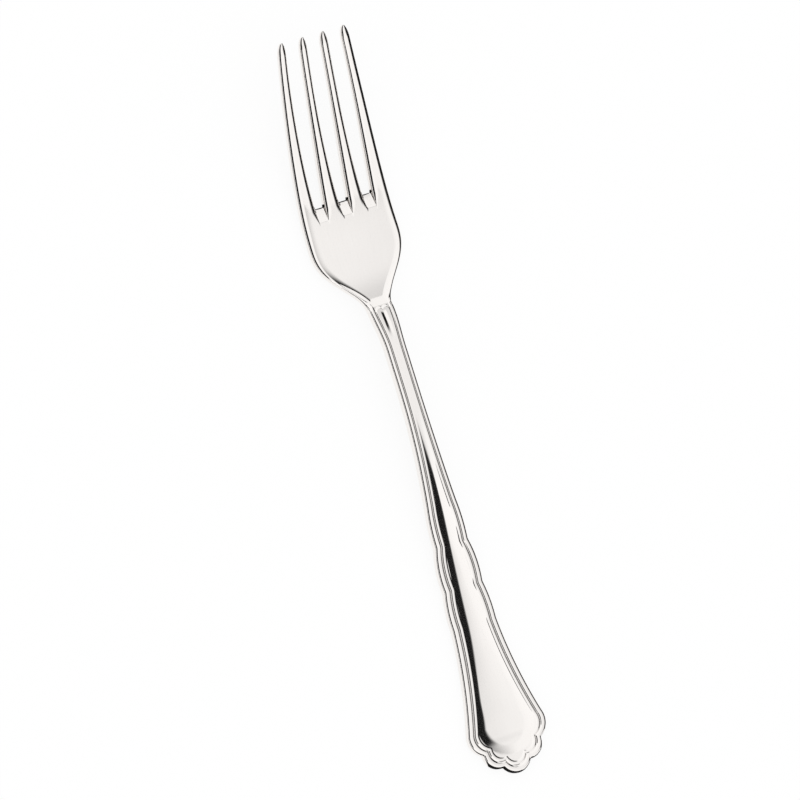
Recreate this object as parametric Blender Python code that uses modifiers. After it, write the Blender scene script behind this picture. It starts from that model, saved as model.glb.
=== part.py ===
"""A serving fork with a moulded, scalloped handle, stamped from one piece of steel.

It lies as on a table: +Y runs from the handle end to the tine tips, +X to the right and +Z up, with
the underside of the handle end and the heel of the bowl on z = 0. The steps are those of the press
shop: a flat blank laid out to the outline, the slots cut, the thickness rolled, the border and the
bowl coined and the blade bent. Only the right half is laid out, and a mirror makes the left.
"""

import math

import bmesh
import bpy

MM = 0.001

# Overall sizes, in mm
LENGTH = 240.0
HEAD_WIDTH = 32.3
END_WIDTH = 27.8
NECK_WIDTH = 7.4

# Scalloped end: notches between the lobes, and how far each lobe rises over its chord
CENTRE_NOTCH_HALF = 4.9
CENTRE_NOTCH_Y = 3.0
SIDE_NOTCH_INSET = 3.3
SIDE_NOTCH_Y = 8.5
SIDE_LOBE_RISE = 1.87
SHOULDER_RISE = 1.6
FLARE_INSET = 0.2
FLARE_Y = 16.35
NOTCH_ROUND = 0.45

# Sides of the handle: half widths at stations from the end, and the rise of the arcs between them
FLARE_RISE = -0.88
WAIST_HALF = 8.1
WAIST_Y = 48.7
WAIST_RISE = 0.42
REAR_NOTCH_HALF = 7.15
REAR_NOTCH_Y = 60.9
BULGE_RISE = 0.73
FRONT_NOTCH_HALF = 6.12
FRONT_NOTCH_Y = 75.05
HIP_RISE = 0.33
HIP_HALF = 5.65
HIP_Y = 87.8
TAPER_RISE = -0.485
NECK_Y = 126.8

# Head, with lengths measured back from the tips
HEAD_LENGTH = 88.4
FLARE_LENGTH = 24.0
FLARE_POWER = 2.57
NECK_SPREAD = 0.78
NECK_SPREAD_LENGTH = 12.7
SIDE_TAPER_POWER = 1.52

# Tines and slots
TINE_LENGTH = 52.6
TIP_SPREAD = 25.0
INNER_ROOT_WIDTH = 5.4
INNER_TIP_WIDTH = 2.75
INNER_TAPER_POWER = 2.4
OUTER_ROOT_WIDTH = 5.75
OUTER_TIP_WIDTH = 2.9
OUTER_TAPER_POWER = 1.6
TIP_ROUND = 4.0
TIP_POINT = 0.97
SLOT_RAMP_LENGTH = 5.4
SLOT_RAMP_DEPTH = 1.8
SLOT_DRAFT = 0.8
ROOT_DRAFT = 0.15

# Thickness
END_THICKNESS = 2.4
NECK_THICKNESS = 3.4
BOWL_THICKNESS = 3.0
TIP_THICKNESS = 2.2
THINNING_LENGTH = 14.0
TOP_ROUND = 1.15
TOP_ROUND_DROP = 1.6
TINE_ROUND = 1.6
UNDER_ROUND = 0.6
UNDER_CROWN = 0.6
TOP_SHARE = 0.55
UNDER_SHARE = 0.25
POINT_SHARE = 0.3

# Coined border, with distances in from the edge: a bead, a groove, a second bead and the field
GROOVE = 2.35
GROOVE_HALF = 0.5
GROOVE_DEPTH = 0.22
NECK_GROOVE = 1.9
FIELD_INSET = 3.7
FIELD_STEP = 0.12
FIELD_STEP_HALF = 0.2
ARCH_FROM_TIPS = 88.7

# Sloping side of the field: its width at the shoulders, on the flare and between the notches
SHOULDER_FLANK = 3.0
FLARE_FLANK = 1.8
NOTCH_FLANK = 2.4
FLANK_SLOPE = 0.2
FLANK_POWER = 1.4
FLANK_NARROWS = 11.0
FLANK_WIDENS = 16.0
FLANK_LEAD = 4.0
FLANK_ENDS = 30.0
LEAST_FLANK = 0.2
END_SHARE = 0.3
END_FADE_FROM = 8.0
END_FADE_TO = 2.0

# Trough along the middle of the neck, which ends at the arches
TROUGH_HALF = 0.95
TROUGH_DEPTH = 0.25
TROUGH_LENGTH = 8.0
TROUGH_END = 1.5

# Hollow of the bowl inside its rim
RIM = 0.3
HOLLOW_FROM_TIPS = 86.6
HOLLOW_RUN_IN = 2.5
HOLLOW_FLANK = 3.0
HOLLOW_DEPTH = 0.85
HOLLOW_LENGTH = 17.0
BOWL_DEPTH = 0.1

# Bends
REST_LENGTH = 36.0
CREST_HEIGHT = 4.9
CREST_FROM_TIPS = 107.5
CREST_LENGTH = 4.4
HEEL_FROM_TIPS = 67.2
HEEL_LENGTH = 4.0
TIP_HEIGHT = 16.0
TINE_BEND = 24.0

# Mesh density: rows along each stretch, and columns across each half from the centre line out
CENTRE_LOBE_ROWS = 5
SIDE_LOBE_ROWS = 9
SHOULDER_ROWS = 8
NOTCH_ROWS = 2
FLARE_ROWS = 9
WAIST_ROWS = 4
BULGE_ROWS = 8
HIP_ROWS = 5
TAPER_ROWS = 8
NECK_ROWS = 6
ARCH_ROWS = 14
BOWL_ROWS = 18
RAMP_ROWS = 5
TINE_ROWS = 14
TIP_ROWS = 6
EDGE_STEP = 0.2
FIELD_STEPS = (0.12, 0.26, 0.4, 0.55, 0.7, 0.82, 0.92, 1.0)
INNER_TINE = range(2, 7)
OUTER_TINE = range(10, 15)
COLUMNS = OUTER_TINE[-1]
MOST_BORDER = 0.9
MERGE = 1e-5

STEEL = (0.80, 0.79, 0.77, 1.0)
STEEL_ROUGHNESS = 0.08

ROOT_Y = LENGTH - TINE_LENGTH
RAMP_Y = ROOT_Y - SLOT_RAMP_LENGTH
FLARE_START = LENGTH - HEAD_LENGTH
WIDEST_Y = FLARE_START + FLARE_LENGTH
ARCH_Y = LENGTH - ARCH_FROM_TIPS
HOLLOW_Y = LENGTH - HOLLOW_FROM_TIPS
CREST_Y = LENGTH - CREST_FROM_TIPS
HEEL_Y = LENGTH - HEEL_FROM_TIPS
TINE_BEND_Y = HEEL_Y + HEEL_LENGTH
TIP_ROUND_Y = LENGTH - TIP_ROUND


def clamp(value):
    return min(max(value, 0.0), 1.0)


def smooth(value, start, end):
    """0 before start, 1 after end, and an even S between."""
    t = clamp((value - start) / (end - start))
    return t * t * (3.0 - 2.0 * t)


def smoother(value, start, end):
    """The same S with no jump in curvature, for bends that a polished face would show."""
    t = clamp((value - start) / (end - start))
    return t * t * t * (t * (6.0 * t - 15.0) + 10.0)


def eased(share):
    """From 0 to 1, steepest at first and level at the end, as a hollow's side runs into its floor."""
    t = clamp(share)
    return t * (2.0 - t)


def arc(start, end, rise, rows):
    """Points from start to end on the arc that stands rise out from its chord, to the right of travel."""
    run_x = end[0] - start[0]
    run_y = end[1] - start[1]
    chord = math.hypot(run_x, run_y)
    half_angle = 2.0 * math.atan(2.0 * rise / chord)
    radius = chord / (2.0 * math.sin(half_angle))
    points = []
    for row in range(rows + 1):
        angle = half_angle * (2.0 * row / rows - 1.0)
        along = 0.5 + radius * math.sin(angle) / chord
        out = radius * (math.cos(angle) - math.cos(half_angle)) / chord
        points.append((start[0] + along * run_x + out * run_y, start[1] + along * run_y - out * run_x))
    return points


def towards(point, other, distance):
    share = distance / math.dist(point, other)
    return (point[0] + share * (other[0] - point[0]), point[1] + share * (other[1] - point[1]))


def curved(start, corner, end, t):
    """A point on the curve that rounds the corner between start and end."""
    first = (1.0 - t) ** 2
    second = 2.0 * t * (1.0 - t)
    return tuple(first * s + second * c + t**2 * e for s, c, e in zip(start, corner, end))


def joined(arcs):
    """The arcs as one line, with the notch between each pair of them rounded."""
    line = arcs[0]
    for following in arcs[1:]:
        corner = following[0]
        line = [point for point in line if math.dist(point, corner) > NOTCH_ROUND]
        following = [point for point in following if math.dist(point, corner) > NOTCH_ROUND]
        before = towards(corner, line[-1], NOTCH_ROUND)
        after = towards(corner, following[0], NOTCH_ROUND)
        line += [curved(before, corner, after, row / NOTCH_ROWS) for row in range(NOTCH_ROWS + 1)]
        line += following
    return line


def scallop():
    """The right half of the handle end, from the middle of the centre lobe to the top of the shoulder."""
    end = (0.0, 0.0)
    centre_notch = (CENTRE_NOTCH_HALF, CENTRE_NOTCH_Y)
    side_notch = (END_WIDTH / 2.0 - SIDE_NOTCH_INSET, SIDE_NOTCH_Y)
    flare = (END_WIDTH / 2.0 - FLARE_INSET, FLARE_Y)
    level = math.atan2(CENTRE_NOTCH_Y, CENTRE_NOTCH_HALF) / 2.0
    centre_rise = math.dist(end, centre_notch) / 2.0 * math.tan(level)
    centre_lobe = arc(end, centre_notch, centre_rise, CENTRE_LOBE_ROWS)
    side_lobe = arc(centre_notch, side_notch, SIDE_LOBE_RISE, SIDE_LOBE_ROWS)
    shoulder = arc(side_notch, flare, SHOULDER_RISE, SHOULDER_ROWS)
    return joined([centre_lobe, side_lobe, shoulder])


def handle_side():
    """The right side of the handle from the shoulder to the neck, through its two notches."""
    flare = (END_WIDTH / 2.0 - FLARE_INSET, FLARE_Y)
    waist = (WAIST_HALF, WAIST_Y)
    rear_notch = (REAR_NOTCH_HALF, REAR_NOTCH_Y)
    front_notch = (FRONT_NOTCH_HALF, FRONT_NOTCH_Y)
    hip = (HIP_HALF, HIP_Y)
    neck = (NECK_WIDTH / 2.0, NECK_Y)
    rear = arc(flare, waist, FLARE_RISE, FLARE_ROWS) + arc(waist, rear_notch, WAIST_RISE, WAIST_ROWS)[1:]
    bulge = arc(rear_notch, front_notch, BULGE_RISE, BULGE_ROWS)
    front = arc(front_notch, hip, HIP_RISE, HIP_ROWS) + arc(hip, neck, TAPER_RISE, TAPER_ROWS)[1:]
    return joined([rear, bulge, front])


def head_half(y):
    """Half the width of the neck and head, over the outer sides of the outer tines."""
    neck_end = FLARE_START - NECK_SPREAD_LENGTH
    neck = NECK_WIDTH / 2.0 + NECK_SPREAD * smooth(y, neck_end, FLARE_START)
    opened = (1.0 - (1.0 - clamp((y - FLARE_START) / FLARE_LENGTH)) ** FLARE_POWER) ** FLARE_POWER
    closed = clamp((y - WIDEST_Y) / (LENGTH - WIDEST_Y)) ** SIDE_TAPER_POWER
    return neck + (HEAD_WIDTH / 2.0 - neck) * opened - (HEAD_WIDTH - TIP_SPREAD) / 2.0 * closed


def spaced(start, end, rows):
    return [start + (end - start) * row / rows for row in range(1, rows + 1)]


def head_rows():
    """Stations from the neck to the tips, closer together where the shape turns faster."""
    arch_start = ARCH_Y - NECK_WIDTH / 2.0
    arch_end = HOLLOW_Y + HOLLOW_RUN_IN
    rows = spaced(NECK_Y, arch_start, NECK_ROWS)
    rows += spaced(arch_start, arch_end, ARCH_ROWS)
    rows += spaced(arch_end, RAMP_Y, BOWL_ROWS)
    rows += spaced(RAMP_Y, ROOT_Y, RAMP_ROWS)
    rows += spaced(ROOT_Y, TIP_ROUND_Y, TINE_ROWS)
    turns = [math.sin(share * math.pi / 2.0) for share in spaced(0.0, 1.0, TIP_ROWS)]
    return rows + [TIP_ROUND_Y + TIP_ROUND * turn for turn in turns]


def tine_edges(y):
    """(inner tine's two sides, outer tine's two sides) at y: the three slots are equally wide."""
    share = clamp((y - ROOT_Y) / TINE_LENGTH)
    inner = INNER_TIP_WIDTH + (INNER_ROOT_WIDTH - INNER_TIP_WIDTH) * (1.0 - share) ** INNER_TAPER_POWER
    outer = OUTER_TIP_WIDTH + (OUTER_ROOT_WIDTH - OUTER_TIP_WIDTH) * (1.0 - share) ** OUTER_TAPER_POWER
    half = head_half(y)
    slot = 2.0 * (half - inner - outer) / 3.0
    point = math.sqrt(1.0 - (TIP_POINT * clamp((y - TIP_ROUND_Y) / TIP_ROUND)) ** 2)
    inner_middle = (slot + inner) / 2.0
    outer_middle = half - outer / 2.0
    inner *= point / 2.0
    outer *= point / 2.0
    return inner_middle - inner, inner_middle + inner, outer_middle - outer, outer_middle + outer


def tine_columns(low, high):
    edge = min(TINE_ROUND, (high - low) / 3.0)
    return [low, low + edge, (low + high) / 2.0, high - edge, high]


def head_columns(y):
    """Column places across the head: the middle slot's floor, a tine, a slot's floor and a tine."""
    first, second, third, fourth = tine_edges(y)
    into_slot = clamp((y - RAMP_Y) / SLOT_RAMP_LENGTH)
    draft = SLOT_DRAFT + (ROOT_DRAFT - SLOT_DRAFT) * into_slot
    middle_slot = [0.0, first - draft]
    side_slot = [second + draft, (second + third) / 2.0, third - draft]
    return middle_slot + tine_columns(first, second) + side_slot + tine_columns(third, fourth)


def border_scale(y):
    """How far the border has narrowed towards the neck."""
    return 1.0 + (NECK_GROOVE / GROOVE - 1.0) * smooth(y, WAIST_Y, NECK_Y)


def ray(outline, spine):
    """Column places from the centre line out to the outline: the field's, then the border's."""
    length = math.dist(outline, spine)
    scale = border_scale(outline[1])
    groove_start = (GROOVE - GROOVE_HALF) * scale
    edge = min(TOP_ROUND, MOST_BORDER * groove_start)
    groove_end = (GROOVE + GROOVE_HALF) * scale
    border = [0.0, EDGE_STEP * edge, edge, groove_start, GROOVE * scale, groove_end, FIELD_INSET * scale]
    shrink = min(1.0, MOST_BORDER * length / border[-1])
    border = [shrink * inset for inset in border]
    field = [border[-1] + (length - border[-1]) * step for step in FIELD_STEPS]
    return [towards(outline, spine, distance) for distance in reversed(border + field)]


def spine_of(index, end):
    """Where the row of a point of the scalloped end starts on the centre line."""
    lengths = [math.dist(a, b) for a, b in zip(end, end[1:])]
    share = sum(lengths[:index]) / sum(lengths)
    low_spine = (CENTRE_NOTCH_Y + FLARE_Y) / 2.0
    return low_spine + (FLARE_Y - low_spine) * share


def plan():
    """Rows from the centre line to the edge of (x, y, distance in from the edge, the row's length)."""
    end = scallop()
    outline = end + handle_side()[1:]
    outline += [(tine_edges(y)[3] if y > ROOT_Y else head_half(y), y) for y in head_rows()]
    rows = []
    for index, point in enumerate(outline):
        spine = (0.0, spine_of(index, end) if index < len(end) else point[1])
        places = ray(point, spine)
        blend = smooth(point[1], FLARE_START, RAMP_Y)
        if blend > 0.0:
            head = head_columns(point[1])
            places = [(x + blend * (at - x), y) for (x, y), at in zip(places, head)]
        reach = math.dist(point, spine)
        rows.append([(x, y, math.dist((x, y), point), reach) for x, y in places])
    return rows


def underside(y):
    """Height of the underside along the middle: flat end, arched neck, heel and rising tines."""
    up = CREST_HEIGHT * smoother(y, REST_LENGTH, CREST_Y)
    down = 1.0 - smoother(y, CREST_Y + CREST_LENGTH, HEEL_Y)
    run = max(y - TINE_BEND_Y, 0.0)
    full = LENGTH - TINE_BEND_Y
    bend = (math.hypot(TINE_BEND, run) - TINE_BEND) / (math.hypot(TINE_BEND, full) - TINE_BEND)
    return up * down + TIP_HEIGHT * bend


def thickness(y):
    neck = (NECK_THICKNESS - END_THICKNESS) * smoother(y, REST_LENGTH, CREST_Y)
    bowl = (BOWL_THICKNESS - NECK_THICKNESS) * smoother(y, FLARE_START, FLARE_START + THINNING_LENGTH)
    tip = (TIP_THICKNESS - BOWL_THICKNESS) * smooth(y, ROOT_Y, LENGTH)
    return END_THICKNESS + neck + bowl + tip


def groove(x, y, inset):
    """Depth of the groove between the beads, which ends the inner one in two arches and meets the bowl."""
    scale = border_scale(y)
    past_bead = (GROOVE + GROOVE_HALF) * scale - inset
    if y > ARCH_Y:
        arch = (head_half(ARCH_Y) - (GROOVE + GROOVE_HALF) * scale) / 2.0
        past_bead = math.hypot(x - arch, y - ARCH_Y) - arch
    in_from_edge = inset - (GROOVE - GROOVE_HALF) * scale
    run_out = 1.0 - smooth(y, HOLLOW_Y, HOLLOW_Y + HOLLOW_RUN_IN)
    wall = GROOVE_HALF * scale
    return GROOVE_DEPTH * scale * run_out * smooth(past_bead, 0.0, wall) * smooth(in_from_edge, 0.0, wall)


def bowed(start, end, rise, y):
    """x at y on the shallow curve from start to end that stands rise out from its chord."""
    share = (y - start[1]) / (end[1] - start[1])
    return start[0] + share * (end[0] - start[0]) + 4.0 * rise * share * (1.0 - share)


def field_half(y):
    """Half the width of the field's hollow, which runs past the notches of the sides."""
    flare = (END_WIDTH / 2.0 - FLARE_INSET, FLARE_Y)
    waist = (WAIST_HALF, WAIST_Y)
    hip = (HIP_HALF, HIP_Y)
    neck = (NECK_WIDTH / 2.0, NECK_Y)
    if y > NECK_Y:
        side = head_half(y)
    elif y > HIP_Y:
        side = bowed(hip, neck, TAPER_RISE, y)
    elif y > WAIST_Y:
        side = bowed(waist, hip, 0.0, y)
    else:
        side = bowed(flare, waist, FLARE_RISE, max(y, FLARE_Y))
    return side - FIELD_INSET * border_scale(y)


def field_flank(y):
    """Width of the field's sloping side, which runs out at the neck."""
    shoulder = (SHOULDER_FLANK - FLARE_FLANK) * (1.0 - smooth(y, FLARE_Y, FLARE_Y + FLANK_NARROWS))
    notches = (NOTCH_FLANK - FLARE_FLANK) * smooth(y, WAIST_Y - FLANK_WIDENS, WAIST_Y)
    neck = NOTCH_FLANK * smooth(y, HIP_Y - FLANK_LEAD, HIP_Y + FLANK_ENDS)
    return max(FLARE_FLANK + shoulder + notches - neck, LEAST_FLANK)


def flank(share):
    """From 0 to 1 with a slope that holds for most of the way, then eases off."""
    return 1.0 - (1.0 - clamp(share)) ** FLANK_POWER


def field(x, y, inset):
    """Depth inside the inner bead: a small step, a sloping side and a trough up to the arches."""
    on_handle = 1.0 - smooth(y, HIP_Y, HIP_Y + FLANK_ENDS)
    edge = FIELD_INSET * border_scale(y)
    step = FIELD_STEP * on_handle * smooth(inset, edge - FIELD_STEP_HALF, edge + FIELD_STEP_HALF)
    at_end = END_SHARE + (1.0 - END_SHARE) * smooth(y, FLARE_Y - END_FADE_FROM, FLARE_Y - END_FADE_TO)
    inside = field_half(y) - math.hypot(x, max(FLARE_Y - y, 0.0))
    width = field_flank(y)
    side = FLANK_SLOPE * width * at_end * on_handle * flank(inside / width)
    trough_end = ARCH_Y - TROUGH_END
    at_arch = smooth(y, ARCH_Y - TROUGH_LENGTH, trough_end) - smooth(y, trough_end, ARCH_Y)
    return step + side + TROUGH_DEPTH * at_arch * flank(1.0 - x / TROUGH_HALF)


def hollow(y, inset, reach):
    """Depth of the bowl inside its rim: deepest behind the neck, and nothing at the tips."""
    behind_neck = (HOLLOW_DEPTH - BOWL_DEPTH) * (1.0 - smooth(y, HOLLOW_Y, HOLLOW_Y + HOLLOW_LENGTH))
    depth = behind_neck + BOWL_DEPTH * (1.0 - smooth(y, RAMP_Y, LENGTH))
    side = eased((inset - RIM) / min(HOLLOW_FLANK, reach - RIM))
    return depth * side * eased((y - HOLLOW_Y) / HOLLOW_RUN_IN)


def slot_ramp(y):
    """Depth of the ramp that leads into a slot."""
    return SLOT_RAMP_DEPTH * clamp((y - RAMP_Y) / SLOT_RAMP_LENGTH)


def rounding(distance, reach, drop):
    """Drop of an edge, rounded to a quarter of an ellipse, at a distance in from it."""
    if distance >= reach:
        return 0.0
    return drop * (1.0 - math.sqrt(1.0 - (1.0 - distance / reach) ** 2))


def tine_place(column, x, y):
    """(distance in from the nearer side of the column's own tine, half that tine's width)."""
    first, second, third, fourth = tine_edges(y)
    low, high = (first, second) if column in INNER_TINE else (third, fourth)
    return min(abs(x - low), abs(high - x)), (high - low) / 2.0


def heights(column, x, y, inset, reach):
    """(underside, top) of the pressed fork at one place of the blank."""
    crown = UNDER_CROWN * smooth(y, REST_LENGTH, CREST_Y) * (1.0 - smooth(y, ROOT_Y, LENGTH))
    point = POINT_SHARE * thickness(y) * smooth(y, TIP_ROUND_Y, LENGTH)
    room = thickness(y) - point
    top_drop = min(TOP_ROUND_DROP, TOP_SHARE * room)
    border_round = border_scale(y) * TOP_ROUND * top_drop / TOP_ROUND_DROP
    top_round = border_round + (TINE_ROUND - border_round) * smooth(y, FLARE_START, RAMP_Y)
    under_round = min(UNDER_ROUND, UNDER_SHARE * room)
    low = underside(y) + crown * (x / reach) ** 2 + point / 2.0
    high = underside(y) + room + point / 2.0
    high -= groove(x, y, inset) + field(x, y, inset) + hollow(y, inset, reach)

    under_edge = inset
    drop = rounding(inset, top_round, top_drop)
    if column in INNER_TINE or column in OUTER_TINE:
        tine_inset, tine_half = tine_place(column, x, y)
        top_round = min(top_round, tine_half)
        if y > ROOT_Y:
            under_edge = tine_inset
            drop = rounding(tine_inset, top_round, top_drop)
        elif y > RAMP_Y:
            into_slot = min(1.0, slot_ramp(y) / top_drop)
            drop = max(drop, rounding(tine_inset, into_slot * top_round, into_slot * top_drop))
    else:
        drop += slot_ramp(y)
    return low + rounding(under_edge, under_round, under_round), high - drop


def is_slot(column):
    """Whether the strip from this column to the next is cut away between the tines."""
    in_inner = column in INNER_TINE and column + 1 in INNER_TINE
    in_outer = column in OUTER_TINE and column + 1 in OUTER_TINE
    return not (in_inner or in_outer)


def pressed_half():
    """The right half of the fork as a mesh that is open at the centre line."""
    rows = plan()
    mesh = bmesh.new()
    place = mesh.verts.layers.int.new("place")
    bmesh.ops.create_grid(mesh, x_segments=COLUMNS, y_segments=len(rows) - 1, size=1.0)
    for index, vert in enumerate(mesh.verts):
        vert[place] = index

    slots = []
    for index, face in enumerate(mesh.faces):
        row, column = divmod(index, COLUMNS)
        if is_slot(column) and rows[row][column][1] > ROOT_Y - MERGE:
            slots.append(face)
    bmesh.ops.delete(mesh, geom=slots, context="FACES")

    lifted = bmesh.ops.extrude_face_region(mesh, geom=list(mesh.faces), use_keep_orig=True)
    top = {part for part in lifted["geom"] if isinstance(part, bmesh.types.BMVert)}
    for vert in mesh.verts:
        row, column = divmod(vert[place], COLUMNS + 1)
        x, y, inset, reach = rows[row][column]
        low, high = heights(column, x, y, inset, reach)
        vert.co = (x * MM, (y - LENGTH / 2.0) * MM, (high if vert in top else low) * MM)

    open_side = [face for face in mesh.faces if all(abs(vert.co.x) < MERGE * MM for vert in face.verts)]
    bmesh.ops.delete(mesh, geom=open_side, context="FACES")
    bmesh.ops.recalc_face_normals(mesh, faces=mesh.faces)
    return mesh


def steel():
    material = bpy.data.materials.new("polished_steel")
    material.use_nodes = True
    shader = material.node_tree.nodes["Principled BSDF"]
    shader.inputs["Base Color"].default_value = STEEL
    shader.inputs["Metallic"].default_value = 1.0
    shader.inputs["Roughness"].default_value = STEEL_ROUGHNESS
    material.diffuse_color = STEEL
    return material


def build_fork(collection):
    half = pressed_half()
    mesh = bpy.data.meshes.new("fork")
    half.to_mesh(mesh)
    half.free()
    mesh.materials.append(steel())
    mesh.shade_smooth()
    fork = bpy.data.objects.new("fork", mesh)
    collection.objects.link(fork)
    mirror = fork.modifiers.new("left_half", "MIRROR")
    mirror.use_axis = (True, False, False)
    mirror.use_clip = True
    mirror.merge_threshold = MERGE
    return fork


def main():
    for old in list(bpy.data.objects):
        bpy.data.objects.remove(old, do_unlink=True)
    collection = bpy.data.collections.new("serving_fork")
    bpy.context.scene.collection.children.link(collection)
    build_fork(collection)


main()
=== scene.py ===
"""Looks of the serving fork: a fine polished surface in place of the faceted one, its steel and its studio.

The fork's surface follows the same plan as the solid: a right half laid out in rows from the handle
end to the tips and columns from the centre line to the edge, lifted to its heights and mirrored.
The slots' ramps and ends, the bowl's shoulders and the field differ from the solid by small amounts.
Sizes of the fork are in mm, with y from the handle end, and those of the studio are in metres.
"""

import math

import bmesh
import bpy
from mathutils import Matrix, Vector


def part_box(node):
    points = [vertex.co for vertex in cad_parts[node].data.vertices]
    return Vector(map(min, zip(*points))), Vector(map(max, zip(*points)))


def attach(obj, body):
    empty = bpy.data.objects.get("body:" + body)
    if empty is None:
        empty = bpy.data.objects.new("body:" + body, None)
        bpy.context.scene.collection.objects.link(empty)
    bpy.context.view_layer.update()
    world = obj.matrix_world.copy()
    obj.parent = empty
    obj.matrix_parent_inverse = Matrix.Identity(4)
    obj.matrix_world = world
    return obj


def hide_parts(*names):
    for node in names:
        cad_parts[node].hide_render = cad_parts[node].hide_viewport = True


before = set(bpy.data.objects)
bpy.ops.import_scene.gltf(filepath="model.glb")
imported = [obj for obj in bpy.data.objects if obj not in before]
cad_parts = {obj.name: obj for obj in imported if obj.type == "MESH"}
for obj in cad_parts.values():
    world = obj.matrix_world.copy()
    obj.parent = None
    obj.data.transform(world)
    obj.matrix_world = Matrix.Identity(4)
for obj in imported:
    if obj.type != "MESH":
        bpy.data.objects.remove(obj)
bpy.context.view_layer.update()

MM = 0.001

# Overall sizes, in mm, of which the length and the head's width come from the frame
node_low, node_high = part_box("fork")
LENGTH = (node_high[1] - node_low[1]) / MM
HEAD_WIDTH = (node_high[0] - node_low[0]) / MM
END_WIDTH = 27.8
NECK_WIDTH = 7.4

# Scalloped end: notches between the lobes, and how far each lobe rises over its chord
CENTRE_NOTCH_HALF = 4.9
CENTRE_NOTCH_Y = 3.0
SIDE_NOTCH_INSET = 3.3
SIDE_NOTCH_Y = 8.5
SIDE_LOBE_RISE = 1.87
SHOULDER_RISE = 1.6
FLARE_INSET = 0.2
FLARE_Y = 16.35
NOTCH_ROUND = 0.45

# Sides of the handle: half widths at stations from the end, and the rise of the arcs between them
FLARE_RISE = -0.88
WAIST_HALF = 8.1
WAIST_Y = 48.7
WAIST_RISE = 0.42
REAR_NOTCH_HALF = 7.15
REAR_NOTCH_Y = 60.9
BULGE_RISE = 0.73
FRONT_NOTCH_HALF = 6.12
FRONT_NOTCH_Y = 75.05
HIP_RISE = 0.33
HIP_HALF = 5.65
HIP_Y = 87.8
TAPER_RISE = -0.485
NECK_Y = 126.8

# Head: its length back from the tips, how it opens from the neck and how its sides close towards the tips
HEAD_LENGTH = 88.4
FLARE_LENGTH = 24.0
FLARE_POWER = 2.57
NECK_SPREAD = 0.78
NECK_SPREAD_LENGTH = 12.7
SIDE_TAPER_POWER = 1.52

# Tines and slots
TINE_LENGTH = 52.6
TIP_SPREAD = 25.0
INNER_ROOT_WIDTH = 5.4
INNER_TIP_WIDTH = 2.75
INNER_TAPER_POWER = 2.4
OUTER_ROOT_WIDTH = 5.75
OUTER_TIP_WIDTH = 2.9
OUTER_TAPER_POWER = 1.6
TIP_ROUND = 4.0
TIP_POINT = 0.97
SLOT_RAMP_LENGTH = 4.4
SLOT_RAMP_DEPTH = 1.8
SLOT_DRAFT = 0.8
ROOT_DRAFT = 0.15
SLOT_END_DRAFT = 0.35

# Thickness
END_THICKNESS = 2.4
NECK_THICKNESS = 3.4
BOWL_THICKNESS = 3.0
TIP_THICKNESS = 2.2
THINNING_LENGTH = 14.0

# Rounds of the top and under edges, wider just past the start of the bowl, and the underside's crown;
# the shares are the most of the thickness that a round or a tine's point takes
TOP_ROUND = 1.15
TOP_ROUND_DROP = 1.6
TINE_ROUND = 1.6
SHOULDER_ROUND = 1.2
SHOULDER_FROM = 0.2
SHOULDER_PEAK = 2.6
SHOULDER_TO = 6.0
UNDER_ROUND = 0.6
UNDER_CROWN = 0.6
TOP_SHARE = 0.55
UNDER_SHARE = 0.25
POINT_SHARE = 0.3

# Coined border, with distances in from the edge: a bead, a groove, a second bead and the field
GROOVE = 2.35
GROOVE_HALF = 0.5
GROOVE_DEPTH = 0.22
NECK_GROOVE = 1.9
FIELD_INSET = 3.7
FIELD_STEP = 0.12
FIELD_STEP_HALF = 0.2
ARCH_FROM_TIPS = 88.7

# Sloping side of the field: its width at the shoulders, on the flare and between the notches, and its ends
SHOULDER_FLANK = 3.0
FLARE_FLANK = 1.8
NOTCH_FLANK = 2.4
FLANK_SLOPE = 0.2
FLANK_POWER = 1.4
FLANK_NARROWS = 11.0
FLANK_WIDENS = 16.0
FLANK_LEAD = 4.0
FLANK_ENDS = 30.0
LEAST_FLANK = 0.2
END_SHARE = 0.3
END_FADE_FROM = 6.5
END_FADE_TO = 3.0
FIELD_DISH = 0.08

# Trough along the middle of the neck, which ends at the arches
TROUGH_HALF = 0.95
TROUGH_DEPTH = 0.25
TROUGH_LENGTH = 8.0
TROUGH_END = 1.5

# Hollow of the bowl inside its rim
RIM = 0.3
HOLLOW_FROM_TIPS = 86.6
HOLLOW_RUN_IN = 2.5
HOLLOW_FLANK = 3.0
HOLLOW_DEPTH = 0.85
HOLLOW_LENGTH = 17.0
BOWL_DEPTH = 0.1

# Bends: flat rest under the handle end, crest of the neck, heel of the bowl and rising tines
REST_LENGTH = 36.0
CREST_HEIGHT = 4.9
CREST_FROM_TIPS = 107.5
CREST_LENGTH = 4.4
HEEL_FROM_TIPS = 67.2
HEEL_LENGTH = 4.0
TIP_HEIGHT = 16.0
TINE_BEND = 24.0

# Rows of the mesh along each stretch
CENTRE_LOBE_ROWS = 14
SIDE_LOBE_ROWS = 22
SHOULDER_ROWS = 20
NOTCH_ROWS = 4
FLARE_ROWS = 26
WAIST_ROWS = 12
BULGE_ROWS = 20
HIP_ROWS = 14
TAPER_ROWS = 26
NECK_ROWS = 16
ARCH_ROWS = 44
BOWL_ROWS = 30
RAMP_ROWS = 14
TINE_ROWS = 36
TIP_ROWS = 12

# Main columns across each half: their shares of the border's edge and of the field, and the most of a row
# that the border takes and of a tine that its edge takes
EDGE_STEP = 0.2
FIELD_STEPS = (0.12, 0.26, 0.4, 0.55, 0.7, 0.82, 0.92, 1.0)
MOST_BORDER = 0.9
MOST_EDGE = 1.0 / 3.0

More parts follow.
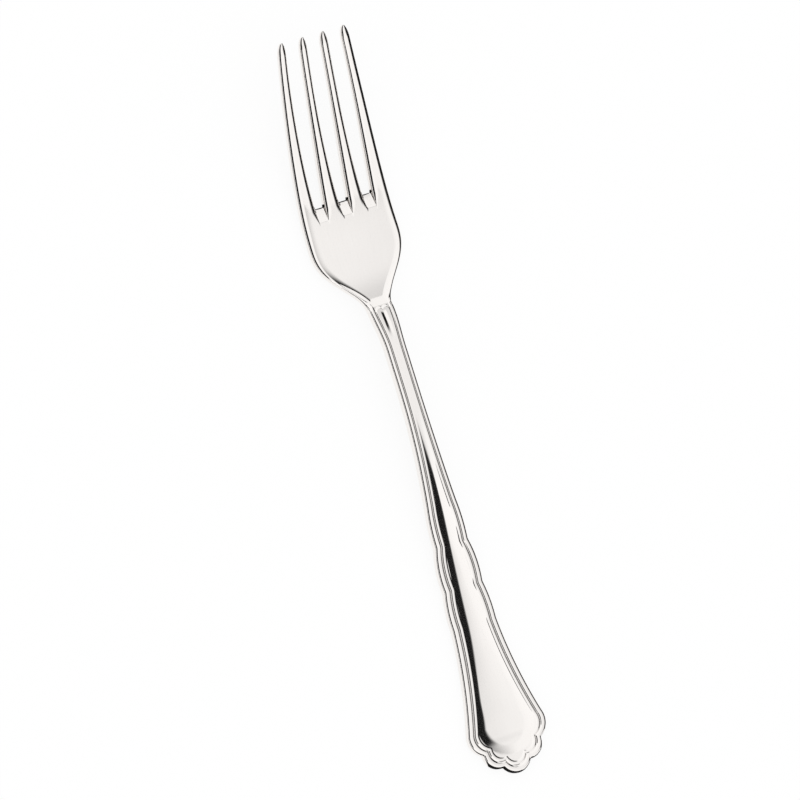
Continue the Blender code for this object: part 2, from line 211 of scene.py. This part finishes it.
# Numbers of the main columns at the tines' sides and edges, and the steps from each main column to the next
INNER_TINE = (2, 6)
OUTER_TINE = (10, 14)
INWARD_EDGES = (2, 10)
OUTWARD_EDGES = (5, 13)
COLUMN_STEPS = (3, 3, 5, 4, 4, 5, 3, 6, 7, 8, 8, 4, 6, 8)

# Distance within which places count as one, and the angle from which an edge is shaded sharp
MERGE = 1e-5
SHARP_ANGLE = math.radians(42.0)

# Stations along the fork that follow from the sizes
ROOT_Y = LENGTH - TINE_LENGTH
RAMP_Y = ROOT_Y - SLOT_RAMP_LENGTH
FLARE_START = LENGTH - HEAD_LENGTH
WIDEST_Y = FLARE_START + FLARE_LENGTH
ARCH_Y = LENGTH - ARCH_FROM_TIPS
HOLLOW_Y = LENGTH - HOLLOW_FROM_TIPS
CREST_Y = LENGTH - CREST_FROM_TIPS
HEEL_Y = LENGTH - HEEL_FROM_TIPS
TINE_BEND_Y = HEEL_Y + HEEL_LENGTH
TIP_ROUND_Y = LENGTH - TIP_ROUND

# Steel: two tints in patches, polishing lines that are drawn out along the fork, and how they vary it
STEEL_LIGHT = (0.94, 0.91, 0.885, 1.0)
STEEL_DARK = (0.91, 0.88, 0.855, 1.0)
PATCH_SCALE = 90.0
PATCH_DETAIL = 2.0
LINE_SCALE = 2500.0
LINE_DETAIL = 3.0
LINE_STRETCH = (1.0, 0.04, 1.0)
LINE_RANGE = (0.3, 0.7)
ROUGHNESS_RANGE = (0.04, 0.1)
UNEVEN_STRENGTH = 0.15
UNEVEN_HEIGHT = 0.00002

# Camera, in metres: it leans left of the vertical and is rolled about its own axis
LEAN = math.radians(24.84)
TIP_FORWARD = math.radians(1.14)
ROLL = math.radians(-17.35)
CAMERA_DISTANCE = 2.455
AIM = (-0.00132, 0.0025)
LENS = 352.1

# Floor and sky, in metres: how much the floor glows, and the sky's level and its change towards the right
FLOOR_SIZE = 12.0
FLOOR_WHITE = (0.95, 0.95, 0.95, 1.0)
FLOOR_GLOW = 0.85
SKY_WHITE = (1.0, 1.0, 1.0, 1.0)
SKY_LEVEL = 1.045
SKY_TILT = -0.08

# Black cards, in metres, of which one lies under the ends of the slots as painted shade: seen only in the
# steel, it stands in for the fork's own shadow on the floor there
CARD_BLACK = (0.012, 0.012, 0.012, 1.0)
TABLE_CARD_HEIGHT = 0.0005
SLOT_SHADE_CARD_START = (ROOT_Y - LENGTH / 2.0) * MM
SLOT_SHADE_CARD_LENGTH = 0.0012
QUARTER_TURN = math.radians(90.0)

# Cards lying on the floor: name, and their edges in x and in y
TABLE_CARDS = (
    ("right_table_card", 0.026, 1.2, -0.4, 0.4),
    ("near_table_card", -0.3, 0.3, -0.2, -0.115),
    # Painted shade: a black card under the slot ends that the steel shows in place of the fork's own shadow
    # on the floor
    ("slot_shade_card", -0.013, 0.013, SLOT_SHADE_CARD_START, SLOT_SHADE_CARD_START + SLOT_SHADE_CARD_LENGTH),
)

# Cards standing beside the fork: name, turn and distance, then angles in degrees seen from the middle of
# the fork: round to the card's two sides, and up to its lower edge, the end of its black and its clear top
CARDS = (
    ("right_card", 0.0, 1.2, -30.0, 30.0, 0.0, 45.0, 67.0),
    ("high_right_card", 0.0, 1.2, 30.0, 48.0, 42.0, 45.0, 67.0),
    ("left_card", 180.0, 1.2, -35.0, 40.0, 20.0, 60.0, 67.0),
    ("low_left_card", 180.0, 1.2, -35.0, 58.0, 0.0, 9.0, 12.0),
    ("near_card", 270.0, 0.2, -35.0, 15.0, 0.0, 12.0, 15.0),
)


def clamp(value):
    return min(max(value, 0.0), 1.0)


def smooth(value, start, end):
    """0 before start, 1 after end, and an even S between."""
    t = clamp((value - start) / (end - start))
    return t * t * (3.0 - 2.0 * t)


def smoother(value, start, end):
    """The same S with no jump in curvature, for bends that a polished face would show."""
    t = clamp((value - start) / (end - start))
    return t * t * t * (t * (6.0 * t - 15.0) + 10.0)


def eased(share):
    """From 0 to 1, steepest at first and level at the end, as a hollow's side runs into its floor."""
    t = clamp(share)
    return t * (2.0 - t)


def arc(start, end, rise, rows):
    """Points from start to end on the arc that stands rise out from its chord, to the right of travel."""
    run_x = end[0] - start[0]
    run_y = end[1] - start[1]
    chord = math.hypot(run_x, run_y)
    half_angle = 2.0 * math.atan(2.0 * rise / chord)
    radius = chord / (2.0 * math.sin(half_angle))
    points = []
    for row in range(rows + 1):
        angle = half_angle * (2.0 * row / rows - 1.0)
        along = 0.5 + radius * math.sin(angle) / chord
        out = radius * (math.cos(angle) - math.cos(half_angle)) / chord
        points.append((start[0] + along * run_x + out * run_y, start[1] + along * run_y - out * run_x))
    return points


def towards(point, other, distance):
    share = distance / math.dist(point, other)
    return (point[0] + share * (other[0] - point[0]), point[1] + share * (other[1] - point[1]))


def curved(start, corner, end, t):
    """A point on the curve that rounds the corner between start and end."""
    first = (1.0 - t) ** 2
    second = 2.0 * t * (1.0 - t)
    return tuple(first * s + second * c + t**2 * e for s, c, e in zip(start, corner, end))


def joined(arcs):
    """The arcs as one line, with the notch between each pair of them rounded."""
    line = arcs[0]
    for following in arcs[1:]:
        corner = following[0]
        line = [point for point in line if math.dist(point, corner) > NOTCH_ROUND]
        following = [point for point in following if math.dist(point, corner) > NOTCH_ROUND]
        before = towards(corner, line[-1], NOTCH_ROUND)
        after = towards(corner, following[0], NOTCH_ROUND)
        line += [curved(before, corner, after, row / NOTCH_ROWS) for row in range(NOTCH_ROWS + 1)]
        line += following
    return line


def scallop():
    """The right half of the handle end, from the middle of the centre lobe to the top of the shoulder."""
    end = (0.0, 0.0)
    centre_notch = (CENTRE_NOTCH_HALF, CENTRE_NOTCH_Y)
    side_notch = (END_WIDTH / 2.0 - SIDE_NOTCH_INSET, SIDE_NOTCH_Y)
    flare = (END_WIDTH / 2.0 - FLARE_INSET, FLARE_Y)
    level = math.atan2(CENTRE_NOTCH_Y, CENTRE_NOTCH_HALF) / 2.0
    centre_rise = math.dist(end, centre_notch) / 2.0 * math.tan(level)
    centre_lobe = arc(end, centre_notch, centre_rise, CENTRE_LOBE_ROWS)
    side_lobe = arc(centre_notch, side_notch, SIDE_LOBE_RISE, SIDE_LOBE_ROWS)
    shoulder = arc(side_notch, flare, SHOULDER_RISE, SHOULDER_ROWS)
    return joined([centre_lobe, side_lobe, shoulder])


def handle_side():
    """The right side of the handle from the shoulder to the neck, through its two notches."""
    flare = (END_WIDTH / 2.0 - FLARE_INSET, FLARE_Y)
    waist = (WAIST_HALF, WAIST_Y)
    rear_notch = (REAR_NOTCH_HALF, REAR_NOTCH_Y)
    front_notch = (FRONT_NOTCH_HALF, FRONT_NOTCH_Y)
    hip = (HIP_HALF, HIP_Y)
    neck = (NECK_WIDTH / 2.0, NECK_Y)
    rear = arc(flare, waist, FLARE_RISE, FLARE_ROWS) + arc(waist, rear_notch, WAIST_RISE, WAIST_ROWS)[1:]
    bulge = arc(rear_notch, front_notch, BULGE_RISE, BULGE_ROWS)
    front = arc(front_notch, hip, HIP_RISE, HIP_ROWS) + arc(hip, neck, TAPER_RISE, TAPER_ROWS)[1:]
    return joined([rear, bulge, front])


def head_half(y):
    """Half the width of the neck and head, over the outer sides of the outer tines."""
    neck_end = FLARE_START - NECK_SPREAD_LENGTH
    neck = NECK_WIDTH / 2.0 + NECK_SPREAD * smooth(y, neck_end, FLARE_START)
    opened = (1.0 - (1.0 - clamp((y - FLARE_START) / FLARE_LENGTH)) ** FLARE_POWER) ** FLARE_POWER
    closed = clamp((y - WIDEST_Y) / (LENGTH - WIDEST_Y)) ** SIDE_TAPER_POWER
    return neck + (HEAD_WIDTH / 2.0 - neck) * opened - (HEAD_WIDTH - TIP_SPREAD) / 2.0 * closed


def spaced(start, end, rows):
    return [start + (end - start) * row / rows for row in range(1, rows + 1)]


def head_rows():
    """Stations from the neck to the tips, closer together where the shape turns faster."""
    arch_start = ARCH_Y - NECK_WIDTH / 2.0
    arch_end = HOLLOW_Y + HOLLOW_RUN_IN
    rows = spaced(NECK_Y, arch_start, NECK_ROWS)
    rows += spaced(arch_start, arch_end, ARCH_ROWS)
    rows += spaced(arch_end, RAMP_Y, BOWL_ROWS)
    rows += spaced(RAMP_Y, ROOT_Y, RAMP_ROWS)
    rows += spaced(ROOT_Y, TIP_ROUND_Y, TINE_ROWS)
    turns = [math.sin(share * math.pi / 2.0) for share in spaced(0.0, 1.0, TIP_ROWS)]
    return rows + [TIP_ROUND_Y + TIP_ROUND * turn for turn in turns]


def tine_edges(y):
    """(inner tine's two sides, outer tine's two sides) at y: the three slots are equally wide."""
    share = clamp((y - ROOT_Y) / TINE_LENGTH)
    inner = INNER_TIP_WIDTH + (INNER_ROOT_WIDTH - INNER_TIP_WIDTH) * (1.0 - share) ** INNER_TAPER_POWER
    outer = OUTER_TIP_WIDTH + (OUTER_ROOT_WIDTH - OUTER_TIP_WIDTH) * (1.0 - share) ** OUTER_TAPER_POWER
    half = head_half(y)
    slot = 2.0 * (half - inner - outer) / 3.0
    point = math.sqrt(1.0 - (TIP_POINT * clamp((y - TIP_ROUND_Y) / TIP_ROUND)) ** 2)
    inner_middle = (slot + inner) / 2.0
    outer_middle = half - outer / 2.0
    inner *= point / 2.0
    outer *= point / 2.0
    return inner_middle - inner, inner_middle + inner, outer_middle - outer, outer_middle + outer


def tine_columns(low, high):
    edge = min(TINE_ROUND, MOST_EDGE * (high - low))
    return [low, low + edge, (low + high) / 2.0, high - edge, high]


def head_columns(y):
    """Main columns across the head: the middle slot's floor, a tine, a slot's floor and a tine."""
    first, second, third, fourth = tine_edges(y)
    into_slot = clamp((y - RAMP_Y) / SLOT_RAMP_LENGTH)
    draft = SLOT_DRAFT + (ROOT_DRAFT - SLOT_DRAFT) * into_slot
    middle_slot = [0.0, first - draft]
    side_slot = [second + draft, (second + third) / 2.0, third - draft]
    return middle_slot + tine_columns(first, second) + side_slot + tine_columns(third, fourth)


def border_scale(y):
    """How far the border has narrowed towards the neck."""
    return 1.0 + (NECK_GROOVE / GROOVE - 1.0) * smooth(y, WAIST_Y, NECK_Y)


def ray(outline, spine):
    """Main columns from the centre line out to the outline: the field's, then the border's."""
    length = math.dist(outline, spine)
    scale = border_scale(outline[1])
    groove_start = (GROOVE - GROOVE_HALF) * scale
    edge = min(TOP_ROUND, MOST_BORDER * groove_start)
    groove_end = (GROOVE + GROOVE_HALF) * scale
    border = [0.0, EDGE_STEP * edge, edge, groove_start, GROOVE * scale, groove_end, FIELD_INSET * scale]
    shrink = min(1.0, MOST_BORDER * length / border[-1])
    border = [shrink * inset for inset in border]
    field = [border[-1] + (length - border[-1]) * step for step in FIELD_STEPS]
    return [towards(outline, spine, distance) for distance in reversed(border + field)]


def fine_columns():
    """Places of all columns, as main column numbers with shares: closer together at the tines' edges."""
    columns = []
    for main, steps in enumerate(COLUMN_STEPS):
        for step in range(steps):
            share = step / steps
            if main in INWARD_EDGES:
                share = share * share
            elif main in OUTWARD_EDGES:
                share = share * (2.0 - share)
            columns.append(main + share)
    return columns + [len(COLUMN_STEPS)]


def between(places, column):
    """The place at a column's share of the way between two main columns."""
    main = min(int(column), len(places) - 2)
    share = column - main
    low, high = places[main], places[main + 1]
    return (low[0] + share * (high[0] - low[0]), low[1] + share * (high[1] - low[1]))


def spine_of(index, end):
    """Where the row of a point of the scalloped end starts on the centre line."""
    lengths = [math.dist(a, b) for a, b in zip(end, end[1:])]
    share = sum(lengths[:index]) / sum(lengths)
    low_spine = (CENTRE_NOTCH_Y + FLARE_Y) / 2.0
    return low_spine + (FLARE_Y - low_spine) * share


def plan(columns):
    """Rows from the centre line to the edge of (x, y, distance in from the edge, the row's length)."""
    end = scallop()
    outline = end + handle_side()[1:]
    outline += [(tine_edges(y)[3] if y > ROOT_Y else head_half(y), y) for y in head_rows()]
    rows = []
    for index, point in enumerate(outline):
        spine = (0.0, spine_of(index, end) if index < len(end) else point[1])
        places = ray(point, spine)
        blend = smooth(point[1], FLARE_START, RAMP_Y)
        if blend > 0.0:
            head = head_columns(point[1])
            places = [(x + blend * (at - x), y) for (x, y), at in zip(places, head)]
        reach = math.dist(point, spine)
        row = []
        for column in columns:
            x, y = between(places, column)
            row.append((x, y, math.dist((x, y), point), reach))
        rows.append(row)
    return rows


def underside(y):
    """Height of the underside along the middle: flat end, arched neck, heel and rising tines."""
    up = CREST_HEIGHT * smoother(y, REST_LENGTH, CREST_Y)
    down = 1.0 - smoother(y, CREST_Y + CREST_LENGTH, HEEL_Y)
    run = max(y - TINE_BEND_Y, 0.0)
    full = LENGTH - TINE_BEND_Y
    bend = (math.hypot(TINE_BEND, run) - TINE_BEND) / (math.hypot(TINE_BEND, full) - TINE_BEND)
    return up * down + TIP_HEIGHT * bend


def thickness(y):
    neck = (NECK_THICKNESS - END_THICKNESS) * smoother(y, REST_LENGTH, CREST_Y)
    bowl = (BOWL_THICKNESS - NECK_THICKNESS) * smoother(y, FLARE_START, FLARE_START + THINNING_LENGTH)
    tip = (TIP_THICKNESS - BOWL_THICKNESS) * smooth(y, ROOT_Y, LENGTH)
    return END_THICKNESS + neck + bowl + tip


def groove(x, y, inset):
    """Depth of the groove between the beads, which ends the inner one in two arches and meets the bowl."""
    scale = border_scale(y)
    past_bead = (GROOVE + GROOVE_HALF) * scale - inset
    if y > ARCH_Y:
        arch = (head_half(ARCH_Y) - (GROOVE + GROOVE_HALF) * scale) / 2.0
        past_bead = math.hypot(x - arch, y - ARCH_Y) - arch
    in_from_edge = inset - (GROOVE - GROOVE_HALF) * scale
    run_out = 1.0 - smooth(y, HOLLOW_Y, HOLLOW_Y + HOLLOW_RUN_IN)
    wall = GROOVE_HALF * scale
    return GROOVE_DEPTH * scale * run_out * smooth(past_bead, 0.0, wall) * smooth(in_from_edge, 0.0, wall)


def bowed(start, end, rise, y):
    """x at y on the shallow curve from start to end that stands rise out from its chord."""
    share = (y - start[1]) / (end[1] - start[1])
    return start[0] + share * (end[0] - start[0]) + 4.0 * rise * share * (1.0 - share)


def field_half(y):
    """Half the width of the field's hollow, which runs past the notches of the sides."""
    flare = (END_WIDTH / 2.0 - FLARE_INSET, FLARE_Y)
    waist = (WAIST_HALF, WAIST_Y)
    hip = (HIP_HALF, HIP_Y)
    neck = (NECK_WIDTH / 2.0, NECK_Y)
    if y > NECK_Y:
        side = head_half(y)
    elif y > HIP_Y:
        side = bowed(hip, neck, TAPER_RISE, y)
    elif y > WAIST_Y:
        side = bowed(waist, hip, 0.0, y)
    else:
        side = bowed(flare, waist, FLARE_RISE, max(y, FLARE_Y))
    return side - FIELD_INSET * border_scale(y)


def field_flank(y):
    """Width of the field's sloping side, which runs out at the neck."""
    shoulder = (SHOULDER_FLANK - FLARE_FLANK) * (1.0 - smooth(y, FLARE_Y, FLARE_Y + FLANK_NARROWS))
    notches = (NOTCH_FLANK - FLARE_FLANK) * smooth(y, WAIST_Y - FLANK_WIDENS, WAIST_Y)
    neck = NOTCH_FLANK * smooth(y, HIP_Y - FLANK_LEAD, HIP_Y + FLANK_ENDS)
    return max(FLARE_FLANK + shoulder + notches - neck, LEAST_FLANK)


def flank(share):
    """From 0 to 1 with a slope that holds for most of the way, then eases off."""
    return 1.0 - (1.0 - clamp(share)) ** FLANK_POWER


def field(x, y, inset):
    """Depth inside the inner bead: a small step, a sloping side and a trough up to the arches."""
    on_handle = 1.0 - smooth(y, HIP_Y, HIP_Y + FLANK_ENDS)
    edge = FIELD_INSET * border_scale(y)
    step = FIELD_STEP * on_handle * smooth(inset, edge - FIELD_STEP_HALF, edge + FIELD_STEP_HALF)
    at_end = END_SHARE + (1.0 - END_SHARE) * smooth(y, FLARE_Y - END_FADE_FROM, FLARE_Y - END_FADE_TO)
    inside = field_half(y) - math.hypot(x, max(FLARE_Y - y, 0.0))
    width = field_flank(y)
    side = FLANK_SLOPE * width * at_end * on_handle * flank(inside / width)
    trough_end = ARCH_Y - TROUGH_END
    at_arch = smooth(y, ARCH_Y - TROUGH_LENGTH, trough_end) - smooth(y, trough_end, ARCH_Y)
    dish = FIELD_DISH * on_handle * max(1.0 - (x / field_half(y)) ** 2, 0.0)
    return step + side + dish + TROUGH_DEPTH * at_arch * flank(1.0 - x / TROUGH_HALF)


def hollow(y, inset, reach):
    """Depth of the bowl inside its rim: deepest behind the neck, and nothing at the tips."""
    behind_neck = (HOLLOW_DEPTH - BOWL_DEPTH) * (1.0 - smooth(y, HOLLOW_Y, HOLLOW_Y + HOLLOW_LENGTH))
    depth = behind_neck + BOWL_DEPTH * (1.0 - smooth(y, RAMP_Y, LENGTH))
    side = eased((inset - RIM) / min(HOLLOW_FLANK, reach - RIM))
    return depth * side * eased((y - HOLLOW_Y) / HOLLOW_RUN_IN)


def slot_ramp(y):
    """Depth of the ramp that leads into a slot."""
    return SLOT_RAMP_DEPTH * clamp((y - RAMP_Y) / SLOT_RAMP_LENGTH)


def rounding(distance, reach, drop):
    """Drop of an edge, rounded to a quarter of an ellipse, at a distance in from it."""
    if distance >= reach:
        return 0.0
    return drop * (1.0 - math.sqrt(1.0 - (1.0 - distance / reach) ** 2))


def tine_share(column):
    """1 on a tine, 0 on a slot's floor, and between on the wall that joins them."""
    off_inner = max(INNER_TINE[0] - column, column - INNER_TINE[1])
    off_outer = max(OUTER_TINE[0] - column, column - OUTER_TINE[1])
    return clamp(1.0 - min(off_inner, off_outer))


def tine_place(column, x, y):
    """(distance in from the nearer side of the column's own tine, half that tine's width)."""
    first, second, third, fourth = tine_edges(y)
    low, high = (first, second) if column < INNER_TINE[1] + 1 else (third, fourth)
    return max(min(x - low, high - x), 0.0), (high - low) / 2.0


def heights(column, x, y, inset, reach):
    """(underside, top) of the pressed fork at one place of the blank."""
    crown = UNDER_CROWN * smooth(y, REST_LENGTH, CREST_Y) * (1.0 - smooth(y, ROOT_Y, LENGTH))
    point = POINT_SHARE * thickness(y) * smooth(y, TIP_ROUND_Y, LENGTH)
    room = thickness(y) - point
    top_drop = min(TOP_ROUND_DROP, TOP_SHARE * room)
    border_round = border_scale(y) * TOP_ROUND * top_drop / TOP_ROUND_DROP
    top_round = border_round + (TINE_ROUND - border_round) * smooth(y, FLARE_START, RAMP_Y)
    past = y - FLARE_START
    widened = smooth(past, SHOULDER_FROM, SHOULDER_PEAK) - smooth(past, SHOULDER_PEAK, SHOULDER_TO)
    top_round += SHOULDER_ROUND * widened
    under_round = min(UNDER_ROUND, UNDER_SHARE * room)
    low = underside(y) + crown * (x / reach) ** 2 + point / 2.0
    high = underside(y) + room + point / 2.0
    high -= groove(x, y, inset) + field(x, y, inset) + hollow(y, inset, reach)

    under_edge = inset
    drop = rounding(inset, top_round, top_drop)
    if y > RAMP_Y:
        on_tine = tine_share(column)
        tine_inset, tine_half = tine_place(column, x, y)
        top_round = min(top_round, tine_half)
        into_slot = min(1.0, slot_ramp(y) / top_drop)
        tine_edge = rounding(tine_inset, into_slot * top_round, into_slot * top_drop)
        drop = on_tine * max(drop, tine_edge) + (1.0 - on_tine) * slot_ramp(y)
        if y > ROOT_Y:
            under_edge = tine_inset
            drop = tine_edge
    return low + rounding(under_edge, under_round, under_round), high - drop


def pressed_half():
    """The right half of the fork as a mesh that is open at the centre line."""
    columns = fine_columns()
    strips = len(columns) - 1
    rows = plan(columns)
    mesh = bmesh.new()
    place = mesh.verts.layers.int.new("place")
    bmesh.ops.create_grid(mesh, x_segments=strips, y_segments=len(rows) - 1, size=1.0)
    for index, vert in enumerate(mesh.verts):
        vert[place] = index

    slots = []
    for index, face in enumerate(mesh.faces):
        row, strip = divmod(index, strips)
        middle = (columns[strip] + columns[strip + 1]) / 2.0
        if tine_share(middle) < 1.0 and rows[row][strip][1] > ROOT_Y - MERGE:
            slots.append(face)
    bmesh.ops.delete(mesh, geom=slots, context="FACES")

    lifted = bmesh.ops.extrude_face_region(mesh, geom=list(mesh.faces), use_keep_orig=True)
    top = {part for part in lifted["geom"] if isinstance(part, bmesh.types.BMVert)}
    for vert in mesh.verts:
        row, column = divmod(vert[place], strips + 1)
        x, y, inset, reach = rows[row][column]
        low, high = heights(columns[column], x, y, inset, reach)
        at_slot_end = abs(y - ROOT_Y) < MERGE and tine_share(columns[column]) < 1.0
        if at_slot_end and vert not in top:
            # The foot of a slot's end stands forward, so that the end shows from above
            y += SLOT_END_DRAFT
        vert.co = (x * MM, (y - LENGTH / 2.0) * MM, (high if vert in top else low) * MM)

    open_side = [face for face in mesh.faces if all(abs(vert.co.x) < MERGE * MM for vert in face.verts)]
    bmesh.ops.delete(mesh, geom=open_side, context="FACES")
    bmesh.ops.recalc_face_normals(mesh, faces=mesh.faces)
    return mesh


def new_material(name):
    """A material with its node tree and its Principled shader."""
    material = bpy.data.materials.new(name)
    material.use_nodes = True
    return material, material.node_tree, material.node_tree.nodes["Principled BSDF"]


def noise(tree, place, scale, detail):
    """The value of a noise texture at a place."""
    texture = tree.nodes.new("ShaderNodeTexNoise")
    texture.inputs["Scale"].default_value = scale
    texture.inputs["Detail"].default_value = detail
    tree.links.new(place, texture.inputs["Vector"])
    return texture.outputs["Fac"]


def polished_steel():
    """Mirror-polished steel: faint polishing lines along the fork, and a surface that is not quite even."""
    material, tree, shader = new_material("polished_steel")
    nodes, links = tree.nodes, tree.links
    shader.inputs["Metallic"].default_value = 1.0

    place = nodes.new("ShaderNodeTexCoord").outputs["Object"]
    along = nodes.new("ShaderNodeMapping")
    along.inputs["Scale"].default_value = LINE_STRETCH
    links.new(place, along.inputs["Vector"])
    lines = noise(tree, along.outputs["Vector"], LINE_SCALE, LINE_DETAIL)
    patches = noise(tree, place, PATCH_SCALE, PATCH_DETAIL)

    tint = nodes.new("ShaderNodeMix")
    tint.data_type = "RGBA"
    tint.inputs["A"].default_value = STEEL_DARK
    tint.inputs["B"].default_value = STEEL_LIGHT
    links.new(patches, tint.inputs["Factor"])
    links.new(tint.outputs["Result"], shader.inputs["Base Color"])

    gloss = nodes.new("ShaderNodeMapRange")
    gloss.inputs["From Min"].default_value, gloss.inputs["From Max"].default_value = LINE_RANGE
    gloss.inputs["To Min"].default_value, gloss.inputs["To Max"].default_value = ROUGHNESS_RANGE
    links.new(lines, gloss.inputs["Value"])
    links.new(gloss.outputs["Result"], shader.inputs["Roughness"])

    bump = nodes.new("ShaderNodeBump")
    bump.inputs["Strength"].default_value = UNEVEN_STRENGTH
    bump.inputs["Distance"].default_value = UNEVEN_HEIGHT
    links.new(patches, bump.inputs["Height"])
    links.new(bump.outputs["Normal"], shader.inputs["Normal"])
    return material


def build_fork():
    """The polished fork, in the place of the solid."""
    half = pressed_half()
    mesh = bpy.data.meshes.new("polished_fork")
    half.to_mesh(mesh)
    half.free()
    mesh.materials.append(polished_steel())
    mesh.shade_smooth()
    mesh.set_sharp_from_angle(angle=SHARP_ANGLE)
    fork = bpy.data.objects.new("polished_fork", mesh)
    bpy.context.scene.collection.objects.link(fork)
    mirror = fork.modifiers.new("left_half", "MIRROR")
    mirror.use_axis = (True, False, False)
    mirror.use_clip = True
    mirror.merge_threshold = MERGE
    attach(fork, "root")
    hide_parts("fork")


def panel(name, width, height, material):
    """A plain sheet, flat in its own X and Y, that belongs to the studio."""
    mesh = bmesh.new()
    bmesh.ops.create_grid(mesh, x_segments=1, y_segments=1, size=0.5)
    bmesh.ops.scale(mesh, vec=(width, height, 1.0), verts=mesh.verts)
    data = bpy.data.meshes.new(name)
    mesh.to_mesh(data)
    mesh.free()
    data.materials.append(material)
    sheet = bpy.data.objects.new(name, data)
    bpy.context.scene.collection.objects.link(sheet)
    return sheet


def matt(name, colour):
    """A dull material of one colour, with its node tree and its shader."""
    material, tree, shader = new_material(name)
    shader.inputs["Base Color"].default_value = colour
    shader.inputs["Roughness"].default_value = 1.0
    shader.inputs["Specular IOR Level"].default_value = 0.0
    return material, tree, shader


def white_floor():
    """White floor that mostly glows where it is seen, so that the fork's shadow stays pale."""
    material, tree, shader = matt("white_floor", FLOOR_WHITE)
    nodes, links = tree.nodes, tree.links
    path = nodes.new("ShaderNodeLightPath")
    seen = path.outputs["Is Camera Ray"]
    for ray_kind in ("Is Glossy Ray", "Is Transmission Ray"):
        either = nodes.new("ShaderNodeMath")
        either.operation = "MAXIMUM"
        links.new(seen, either.inputs[0])
        links.new(path.outputs[ray_kind], either.inputs[1])
        seen = either.outputs["Value"]
    share = nodes.new("ShaderNodeMath")
    share.operation = "MULTIPLY"
    share.inputs[1].default_value = FLOOR_GLOW
    links.new(seen, share.inputs[0])
    glow = nodes.new("ShaderNodeEmission")
    blend = nodes.new("ShaderNodeMixShader")
    links.new(share.outputs["Value"], blend.inputs["Fac"])
    links.new(shader.outputs["BSDF"], blend.inputs[1])
    links.new(glow.outputs["Emission"], blend.inputs[2])
    links.new(blend.outputs["Shader"], nodes["Material Output"].inputs["Surface"])
    return material


def coordinate(tree, kind, axis):
    """One axis of a kind of texture coordinate."""
    place = tree.nodes.new("ShaderNodeTexCoord")
    split = tree.nodes.new("ShaderNodeSeparateXYZ")
    tree.links.new(place.outputs[kind], split.inputs["Vector"])
    return split.outputs[axis]


def fading_black(name, black_to, clear_from):
    """Black up to one height on the card, and clear above another."""
    material, tree, shader = matt(name, CARD_BLACK)
    nodes, links = tree.nodes, tree.links
    fade = nodes.new("ShaderNodeMapRange")
    fade.interpolation_type = "SMOOTHSTEP"
    fade.inputs["From Min"].default_value = black_to
    fade.inputs["From Max"].default_value = clear_from
    clear = nodes.new("ShaderNodeBsdfTransparent")
    blend = nodes.new("ShaderNodeMixShader")
    links.new(coordinate(tree, "Object", "Y"), fade.inputs["Value"])
    links.new(fade.outputs["Result"], blend.inputs["Fac"])
    links.new(shader.outputs["BSDF"], blend.inputs[1])
    links.new(clear.outputs["BSDF"], blend.inputs[2])
    links.new(blend.outputs["Shader"], nodes["Material Output"].inputs["Surface"])
    return material


def steel_only(card):
    """Leaves the card to be seen in the polished steel alone."""
    card.visible_camera = False
    card.visible_diffuse = False
    card.visible_shadow = False
    card.visible_transmission = False


def black_card(name, turn, away, *angles):
    """A black card standing beside the fork, with its angles in the order of CARDS."""
    start, end, bottom, black_to, clear_from = (away * math.tan(math.radians(angle)) for angle in angles)
    middle = (clear_from + bottom) / 2.0
    material = fading_black(name, black_to - middle, clear_from - middle)
    card = panel(name, end - start, clear_from - bottom, material)
    upright = Matrix.Rotation(QUARTER_TURN, 4, "Z") @ Matrix.Rotation(QUARTER_TURN, 4, "X")
    place = Matrix.Translation((away, (start + end) / 2.0, middle))
    card.matrix_world = Matrix.Rotation(math.radians(turn), 4, "Z") @ place @ upright
    steel_only(card)


def table_card(name, left, right, near, far):
    """A black card lying on the floor."""
    card = panel(name, right - left, far - near, matt(name, CARD_BLACK)[0])
    card.location = ((left + right) / 2.0, (near + far) / 2.0, TABLE_CARD_HEIGHT)
    steel_only(card)


def white_sky():
    """White sky that is a little brighter on the left."""
    world = bpy.data.worlds.new("white_sky")
    bpy.context.scene.world = world
    world.use_nodes = True
    tree = world.node_tree
    background = tree.nodes["Background"]
    background.inputs["Color"].default_value = SKY_WHITE
    level = tree.nodes.new("ShaderNodeMath")
    level.operation = "MULTIPLY_ADD"
    level.inputs[1].default_value = SKY_TILT
    level.inputs[2].default_value = SKY_LEVEL
    tree.links.new(coordinate(tree, "Generated", "X"), level.inputs[0])
    tree.links.new(level.outputs["Value"], background.inputs["Strength"])


def build_studio():
    """The floor, the black cards and the sky, which gives all the light."""
    panel("floor", FLOOR_SIZE, FLOOR_SIZE, white_floor())
    for card in TABLE_CARDS:
        table_card(*card)
    for card in CARDS:
        black_card(*card)
    white_sky()


def build_camera():
    """The camera at the photograph's angle."""
    across = -math.sin(LEAN) * math.cos(TIP_FORWARD)
    above = math.cos(LEAN) * math.cos(TIP_FORWARD)
    back = Vector((across, math.sin(TIP_FORWARD), above))
    up = Vector((0.0, 1.0, 0.0))
    up = (up - up.dot(back) * back).normalized()
    right = up.cross(back)
    right, up = (
        math.cos(ROLL) * right + math.sin(ROLL) * up,
        math.cos(ROLL) * up - math.sin(ROLL) * right,
    )
    data = bpy.data.cameras.new("camera")
    data.lens = LENS
    camera = bpy.data.objects.new("camera", data)
    bpy.context.scene.collection.objects.link(camera)
    axes = Matrix((right, up, back)).transposed().to_4x4()
    camera.matrix_world = Matrix.Translation(back * CAMERA_DISTANCE + AIM[0] * right + AIM[1] * up) @ axes
    bpy.context.scene.camera = camera


build_fork()
build_studio()
build_camera()
bpy.context.scene.view_settings.view_transform = "Standard"
